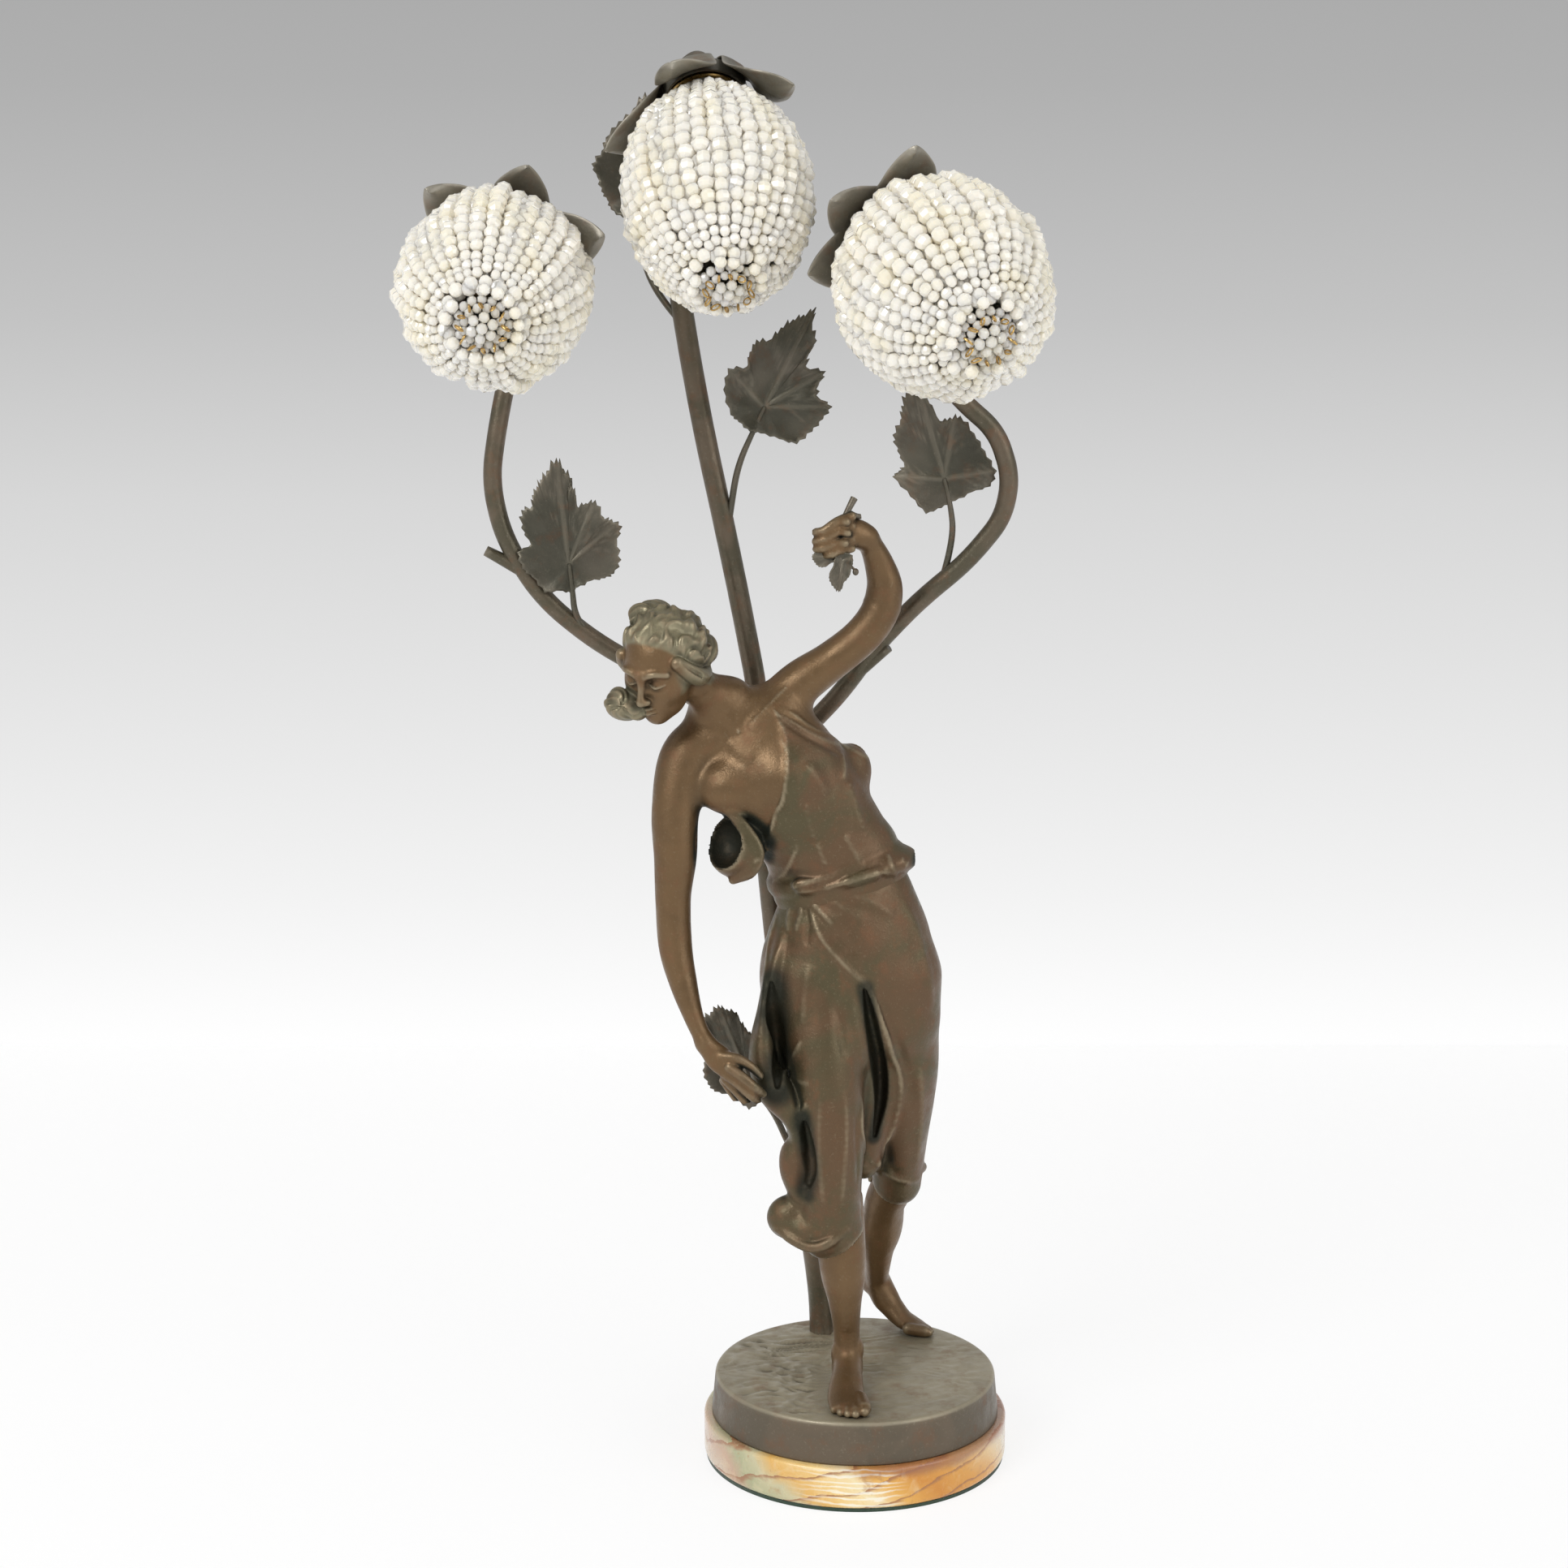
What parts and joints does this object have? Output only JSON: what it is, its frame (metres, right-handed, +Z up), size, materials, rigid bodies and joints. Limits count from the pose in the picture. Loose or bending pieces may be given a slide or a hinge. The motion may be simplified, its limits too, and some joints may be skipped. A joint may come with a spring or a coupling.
{
  "type": "figural table lamp",
  "caption": "Figural table lamp: a cast figure on a round stone plinth, a branching stem with vine leaves and bud-shaped bead shades on hooked branches.",
  "frame": {"origin": "centre of the felt's underside, where the lamp rests", "axes": "+Z up; the figure faces -Y; +X is to the right as the lamp is seen from the front"},
  "size_m": [0.3359, 0.2729, 0.8015],
  "materials": {
    "patinated_casting": "slush-cast spelter with a rubbed brown bronze patina, green-black in the hollows",
    "stem_tube": "brass tube with a dull brown patina",
    "leaf_brass": "stamped sheet brass with a dull olive-brown patina",
    "onyx": "polished banded onyx, cream, green and amber",
    "green_felt": "dark green felt",
    "steel": "plain steel fasteners",
    "bushing_fibre": "dark moulded insulation",
    "wire_cover": "braided cloth wire covering",
    "holder_porcelain": "brown-glazed porcelain lampholder body",
    "brass_fittings": "plain brass",
    "bulb_glass": "clear bulb glass",
    "bead_glass": "strung crystal glass beads, creamy white"
  },
  "bodies": {
    "lamp_stand": {"felt_pad": "green_felt", "onyx_plinth": "onyx", "ground_base": "patinated_casting", "plinth_bolt": "steel", "plinth_washer": "steel", "cord_bushing": "bushing_fibre", "foot_screws": "steel", "trunk_nut": "steel", "splice_cap": "bushing_fibre", "trunk": "stem_tube", "branch_junction": "stem_tube", "centre_branch": "stem_tube", "left_branch": "stem_tube", "right_branch": "stem_tube", "trunk_cable": "wire_cover", "centre_lead": "wire_cover", "left_lead": "wire_cover", "right_lead": "wire_cover", "figure_torso": "patinated_casting", "figure_skirt": "patinated_casting", "figure_head": "patinated_casting", "figure_lowered_arm": "patinated_casting", "figure_raised_arm": "patinated_casting", "figure_front_leg": "patinated_casting", "figure_back_leg": "patinated_casting", "skirt_drape": "patinated_casting", "skirt_overlap": "patinated_casting", "waist_sash": "patinated_casting", "bodice_fold": "patinated_casting", "berry_sprig": "patinated_casting", "leaf_left": "leaf_brass", "leaf_centre": "leaf_brass", "leaf_right": "leaf_brass", "leaf_top": "leaf_brass", "leaf_low": "leaf_brass", "calyx_centre": "leaf_brass", "lampholder_centre": "holder_porcelain", "contact_centre": "brass_fittings", "calyx_left": "leaf_brass", "lampholder_left": "holder_porcelain", "contact_left": "brass_fittings", "calyx_right": "leaf_brass", "lampholder_right": "holder_porcelain", "contact_right": "brass_fittings"},
    "shade_centre": {"shade_ring_centre": "brass_fittings", "shade_beads_centre": "bead_glass", "shade_rosette_centre": "bead_glass"},
    "bulb_centre": {"bulb_cap_centre": "brass_fittings", "bulb_glass_centre": "bulb_glass"},
    "shade_left": {"shade_ring_left": "brass_fittings", "shade_beads_left": "bead_glass", "shade_rosette_left": "bead_glass"},
    "bulb_left": {"bulb_cap_left": "brass_fittings", "bulb_glass_left": "bulb_glass"},
    "shade_right": {"shade_ring_right": "brass_fittings", "shade_beads_right": "bead_glass", "shade_rosette_right": "bead_glass"},
    "bulb_right": {"bulb_cap_right": "brass_fittings", "bulb_glass_right": "bulb_glass"}
  },
  "joints": [
    {"name": "shade_centre_pull", "type": "slide", "parent": "lamp_stand", "child": "shade_centre", "axis": [0.097, -0.6819, -0.7249], "range_m": [0, 0.1]},
    {"name": "bulb_centre_screw", "type": "hinge", "parent": "lamp_stand", "child": "bulb_centre", "pos_m": [-0.0845, -0.012, 0.7803], "axis": [0.097, -0.6819, -0.7249], "range_deg": [0, 1080]},
    {"name": "shade_left_pull", "type": "slide", "parent": "lamp_stand", "child": "shade_left", "axis": [0, -0.957, -0.29], "range_m": [0, 0.1]},
    {"name": "bulb_left_screw", "type": "hinge", "parent": "lamp_stand", "child": "bulb_left", "pos_m": [-0.192, 0.002, 0.697], "axis": [0, -0.957, -0.29], "range_deg": [0, 1080]},
    {"name": "shade_right_pull", "type": "slide", "parent": "lamp_stand", "child": "shade_right", "axis": [0.2809, -0.8829, -0.3762], "range_m": [0, 0.1]},
    {"name": "bulb_right_screw", "type": "hinge", "parent": "lamp_stand", "child": "bulb_right", "pos_m": [0.016, -0.044, 0.704], "axis": [0.2809, -0.8829, -0.3762], "range_deg": [0, 1080]}
  ]
}
